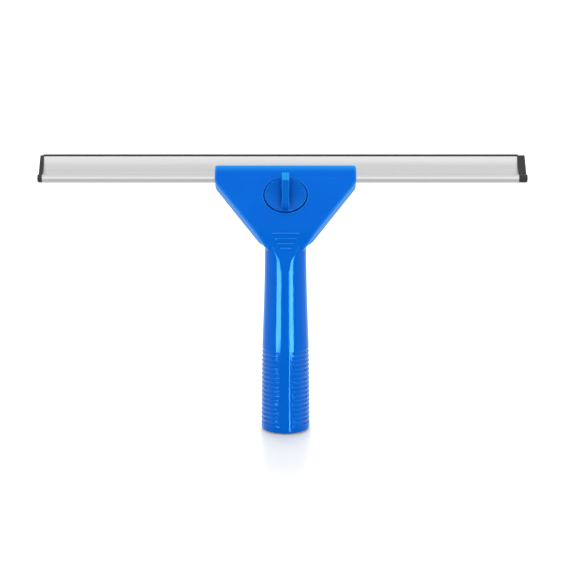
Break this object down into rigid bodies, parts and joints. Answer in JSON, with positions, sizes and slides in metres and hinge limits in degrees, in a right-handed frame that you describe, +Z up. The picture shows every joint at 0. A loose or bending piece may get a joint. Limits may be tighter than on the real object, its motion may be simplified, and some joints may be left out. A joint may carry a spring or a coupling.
{
  "type": "window cleaning squeegee",
  "caption": "Window squeegee: hollow moulded handle, leaning head with a quarter-turn lock knob, and a sliding aluminium channel that holds a rubber blade between end caps.",
  "frame": {"origin": "centre of the handle's open lower end, on the axis of the pole socket", "axes": "+Z up the handle from its open end, +X along the channel, -Y towards the side that carries the lock knob"},
  "size_m": [0.3512, 0.0777, 0.1897],
  "materials": {
    "blue_shell": "bright blue injection-moulded plastic, satin gloss",
    "blue_knob": "bright blue injection-moulded plastic, satin gloss",
    "channel_aluminium": "extruded, clear anodised, fine lines along its length",
    "blade_rubber": "soft black blade rubber",
    "cap_black": "black moulded plastic",
    "seal_rubber": "black rubber",
    "slide_plastic": "natural white low-friction plastic",
    "steel": "stainless steel"
  },
  "bodies": {
    "handle": {"handle_body": "blue_shell", "rear_cover": "blue_shell", "cover_screws": "steel"},
    "lock_knob": {"knob": "blue_knob", "knob_seal": "seal_rubber", "knob_washer": "steel", "knob_screw": "steel"},
    "lock_slide": {"locking_slide": "slide_plastic", "slide_pad": "seal_rubber"},
    "blade_unit": {"channel": "channel_aluminium", "rubber_blade": "blade_rubber"},
    "left_cap": {"end_cap_left": "cap_black"},
    "right_cap": {"end_cap_right": "cap_black"}
  },
  "joints": [
    {"name": "knob_turn", "type": "hinge", "parent": "handle", "child": "lock_knob", "pos_m": [0, 0.01808, 0.16573], "axis": [0, 0.6896, -0.7242], "range_deg": [0, 90]},
    {"name": "jaw_lift", "type": "slide", "parent": "handle", "child": "lock_slide", "axis": [0, 0.7242, 0.6896], "range_m": [-0.0034, 0]},
    {"name": "channel_slide", "type": "slide", "parent": "handle", "child": "blade_unit", "axis": [1, 0, 0], "range_m": [-0.116, 0.123]},
    {"name": "left_cap_pull", "type": "slide", "parent": "blade_unit", "child": "left_cap", "axis": [-1, 0, 0], "range_m": [0, 0.02]},
    {"name": "right_cap_pull", "type": "slide", "parent": "blade_unit", "child": "right_cap", "axis": [1, 0, 0], "range_m": [0, 0.02]}
  ],
  "couplings": [
    {"joint": "jaw_lift", "follows": "knob_turn", "m_per_rad": -0.0021608}
  ]
}
